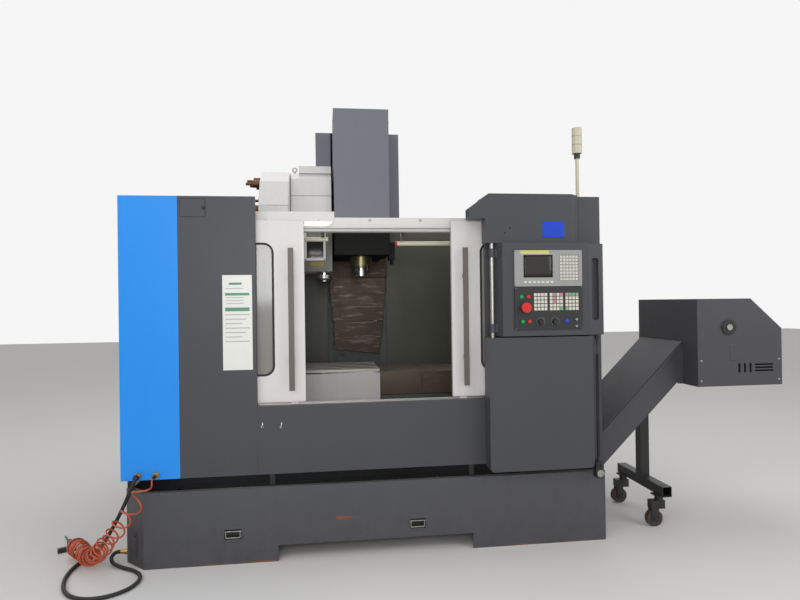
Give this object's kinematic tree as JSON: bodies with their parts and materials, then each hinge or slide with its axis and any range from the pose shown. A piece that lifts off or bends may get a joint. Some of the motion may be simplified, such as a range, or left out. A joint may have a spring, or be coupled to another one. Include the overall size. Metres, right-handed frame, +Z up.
{
  "type": "cnc machining center",
  "caption": "Vertical machining centre with sliding doors, swinging operator station, arm tool changer, coolant tank and rising chip conveyor.",
  "frame": {"origin": "on the floor under the middle foot of the bed's front row, on the spindle's centreline in X", "axes": "+X to the right along the front, +Y to the back, +Z up"},
  "size_m": [4.2767, 2.822, 2.7],
  "materials": {
    "grey_paint": "satin",
    "blue_paint": "satin",
    "white_paint": "satin",
    "olive_paint": "satin",
    "casting": "painted rough casting",
    "steel": "ground",
    "chrome": "polished",
    "dark_steel": "satin",
    "dark_plastic": "matt",
    "red_plastic": "gloss",
    "green_plastic": "gloss",
    "lamp_plastic": "gloss",
    "orange_hose": "matt",
    "black_rubber": "matt"
  },
  "bodies": {
    "frame": {"bed": "casting", "levelling_feet": "steel", "column": "casting", "column_cover": "grey_paint", "coolant_tank": "grey_paint", "corner_panel": "blue_paint", "left_panel": "grey_paint", "sill_panel": "grey_paint", "right_pillar": "grey_paint", "door_beam": "white_paint", "enclosure_walls": "grey_paint", "changer_housing": "white_paint", "conveyor_channel": "grey_paint", "conveyor_hood": "grey_paint", "conveyor_belt": "steel", "conveyor_stand": "dark_steel", "rear_cabinet": "grey_paint", "signal_tower": "lamp_plastic", "air_hose": "orange_hose", "coolant_hose": "black_rubber", "blow_gun": "steel"},
    "saddle_body": {"saddle": "casting"},
    "table_body": {"table": "steel", "table_guard": "white_paint"},
    "head_body": {"head": "casting", "head_cover": "grey_paint", "spindle_cartridge": "steel"},
    "spindle": {"spindle_shaft": "steel"},
    "x_screw_body": {"x_screw": "steel"},
    "y_screw_body": {"y_screw": "steel"},
    "z_screw_body": {"z_screw": "steel"},
    "x_hood_left_1": {"x_cover_left_1": "steel"},
    "x_hood_left_2": {"x_cover_left_2": "steel"},
    "x_hood_right_1": {"x_cover_right_1": "steel"},
    "x_hood_right_2": {"x_cover_right_2": "steel"},
    "z_plate_1": {"z_cover_1": "steel"},
    "z_plate_2": {"z_cover_2": "steel"},
    "z_plate_3": {"z_cover_3": "steel"},
    "z_plate_4": {"z_cover_4": "steel"},
    "left_leaf": {"left_door": "white_paint"},
    "right_leaf": {"right_door": "white_paint"},
    "magazine": {"magazine_drum": "steel"},
    "pot": {"change_pot": "steel"},
    "arm_slide": {"arm_shaft": "steel"},
    "arm": {"change_arm": "steel"},
    "station": {"control_box": "grey_paint", "control_face": "dark_plastic", "pendant": "dark_plastic", "pendant_cord": "black_rubber"},
    "stop_key": {"emergency_stop": "red_plastic"},
    "start_key": {"start_button": "green_plastic"},
    "halt_key": {"stop_button": "red_plastic"},
    "mode_dial": {"mode_knob": "dark_plastic"},
    "feed_dial": {"feed_knob": "dark_plastic"},
    "hand_wheel": {"pendant_wheel": "chrome"},
    "left_bail": {"left_pull": "chrome"},
    "right_bail": {"right_pull": "chrome"},
    "rear_door": {"cabinet_door": "grey_paint"},
    "drive_shaft": {"conveyor_shaft": "steel"},
    "casters": {"conveyor_wheels": "dark_plastic"}
  },
  "joints": [
    {"name": "x_axis", "type": "slide", "parent": "saddle_body", "child": "table_body", "axis": [1, 0, 0], "range_m": [0, 0.8]},
    {"name": "y_axis", "type": "slide", "parent": "frame", "child": "saddle_body", "axis": [0, 1, 0], "range_m": [-0.25, 0.25]},
    {"name": "z_axis", "type": "slide", "parent": "frame", "child": "head_body", "axis": [0, 0, 1], "range_m": [-0.5, 0]},
    {"name": "spindle_turn", "type": "hinge", "parent": "head_body", "child": "spindle", "pos_m": [0, 0.19, 1.62], "axis": [0, 0, 1], "continuous": true},
    {"name": "x_screw_turn", "type": "hinge", "parent": "saddle_body", "child": "x_screw_body", "pos_m": [0, 0.19, 0.788], "axis": [1, 0, 0], "range_deg": [0, 28800]},
    {"name": "y_screw_turn", "type": "hinge", "parent": "frame", "child": "y_screw_body", "pos_m": [0, 0.19, 0.57], "axis": [0, 1, 0], "range_deg": [-9000, 9000]},
    {"name": "z_screw_turn", "type": "hinge", "parent": "frame", "child": "z_screw_body", "pos_m": [0, 0.774, 1.6], "axis": [0, 0, 1], "range_deg": [-18000, 0]},
    {"name": "x_hood_left_1_slide", "type": "slide", "parent": "saddle_body", "child": "x_hood_left_1", "axis": [1, 0, 0], "range_m": [0, 0.5334]},
    {"name": "x_hood_left_2_slide", "type": "slide", "parent": "saddle_body", "child": "x_hood_left_2", "axis": [1, 0, 0], "range_m": [0, 0.2667]},
    {"name": "x_hood_right_1_slide", "type": "slide", "parent": "saddle_body", "child": "x_hood_right_1", "axis": [1, 0, 0], "range_m": [0, 0.5334]},
    {"name": "x_hood_right_2_slide", "type": "slide", "parent": "saddle_body", "child": "x_hood_right_2", "axis": [1, 0, 0], "range_m": [0, 0.2667]},
    {"name": "z_plate_1_slide", "type": "slide", "parent": "frame", "child": "z_plate_1", "axis": [0, 0, 1], "range_m": [-0.39, 0]},
    {"name": "z_plate_2_slide", "type": "slide", "parent": "frame", "child": "z_plate_2", "axis": [0, 0, 1], "range_m": [-0.311, 0]},
    {"name": "z_plate_3_slide", "type": "slide", "parent": "frame", "child": "z_plate_3", "axis": [0, 0, 1], "range_m": [-0.208, 0]},
    {"name": "z_plate_4_slide", "type": "slide", "parent": "frame", "child": "z_plate_4", "axis": [0, 0, 1], "range_m": [-0.105, 0]},
    {"name": "left_door_slide", "type": "slide", "parent": "frame", "child": "left_leaf", "axis": [1, 0, 0], "range_m": [-0.16, 0.37]},
    {"name": "right_door_slide", "type": "slide", "parent": "frame", "child": "right_leaf", "axis": [1, 0, 0], "range_m": [-0.461, 0.08]},
    {"name": "magazine_turn", "type": "hinge", "parent": "frame", "child": "magazine", "pos_m": [-0.556, 0.19, 1.917], "axis": [1, 0, 0], "continuous": true},
    {"name": "pot_flip", "type": "hinge", "parent": "magazine", "child": "pot", "pos_m": [-0.565, 0.19, 1.652], "axis": [0, 1, 0], "range_deg": [-90, 0]},
    {"name": "arm_drop", "type": "slide", "parent": "frame", "child": "arm_slide", "axis": [0, 0, 1], "range_m": [-0.115, 0]},
    {"name": "arm_turn", "type": "hinge", "parent": "arm_slide", "child": "arm", "pos_m": [-0.26, 0.19, 1.56], "axis": [0, 0, 1], "range_deg": [0, 180]},
    {"name": "station_swing", "type": "hinge", "parent": "frame", "child": "station", "pos_m": [0.672, -0.76, 1.45], "axis": [0, 0, -1], "range_deg": [0, 90]},
    {"name": "emergency_press", "type": "slide", "parent": "station", "child": "stop_key", "axis": [0, 1, 0], "range_m": [0, 0.004], "stiffness_N_per_m": 900},
    {"name": "start_press", "type": "slide", "parent": "station", "child": "start_key", "axis": [0, 1, 0], "range_m": [0, 0.004], "stiffness_N_per_m": 500},
    {"name": "stop_press", "type": "slide", "parent": "station", "child": "halt_key", "axis": [0, 1, 0], "range_m": [0, 0.004], "stiffness_N_per_m": 500},
    {"name": "mode_turn", "type": "hinge", "parent": "station", "child": "mode_dial", "pos_m": [0.931, -0.818, 1.271], "axis": [0, 1, 0], "range_deg": [-90, 90]},
    {"name": "feed_turn", "type": "hinge", "parent": "station", "child": "feed_dial", "pos_m": [1.015, -0.818, 1.271], "axis": [0, 1, 0], "range_deg": [-135, 135]},
    {"name": "wheel_turn", "type": "hinge", "parent": "station", "child": "hand_wheel", "pos_m": [1.273, -0.803, 0.408], "axis": [0, 1, 0], "continuous": true},
    {"name": "left_bail_swing", "type": "hinge", "parent": "frame", "child": "left_bail", "pos_m": [-0.764, -0.719, 0.172], "axis": [-1, 0, 0], "range_deg": [0, 90]},
    {"name": "right_bail_swing", "type": "hinge", "parent": "frame", "child": "right_bail", "pos_m": [0.239, -0.719, 0.172], "axis": [-1, 0, 0], "range_deg": [0, 90]},
    {"name": "cabinet_door_swing", "type": "hinge", "parent": "frame", "child": "rear_door", "pos_m": [-0.652, 1.746, 1.2], "axis": [0, 0, 1], "range_deg": [0, 110]},
    {"name": "conveyor_shaft_turn", "type": "hinge", "parent": "frame", "child": "drive_shaft", "pos_m": [2.11135, -0.35, 1.21585], "axis": [0, 1, 0], "continuous": true},
    {"name": "caster_roll", "type": "hinge", "parent": "frame", "child": "casters", "pos_m": [1.725, -0.35, 0.05], "axis": [0, 1, 0], "continuous": true}
  ],
  "couplings": [
    {"joint": "x_screw_turn", "follows": "x_axis", "rad_per_m": 628.32},
    {"joint": "y_screw_turn", "follows": "y_axis", "rad_per_m": 628.32},
    {"joint": "z_screw_turn", "follows": "z_axis", "rad_per_m": 628.32},
    {"joint": "x_hood_left_1_slide", "follows": "x_axis", "ratio": 0.66667},
    {"joint": "x_hood_left_2_slide", "follows": "x_axis", "ratio": 0.33333},
    {"joint": "x_hood_right_1_slide", "follows": "x_axis", "ratio": 0.66667},
    {"joint": "x_hood_right_2_slide", "follows": "x_axis", "ratio": 0.33333},
    {"joint": "z_plate_1_slide", "follows": "z_axis", "ratio": 0.78},
    {"joint": "z_plate_2_slide", "follows": "z_axis", "ratio": 0.622},
    {"joint": "z_plate_3_slide", "follows": "z_axis", "ratio": 0.416},
    {"joint": "z_plate_4_slide", "follows": "z_axis", "ratio": 0.21}
  ]
}
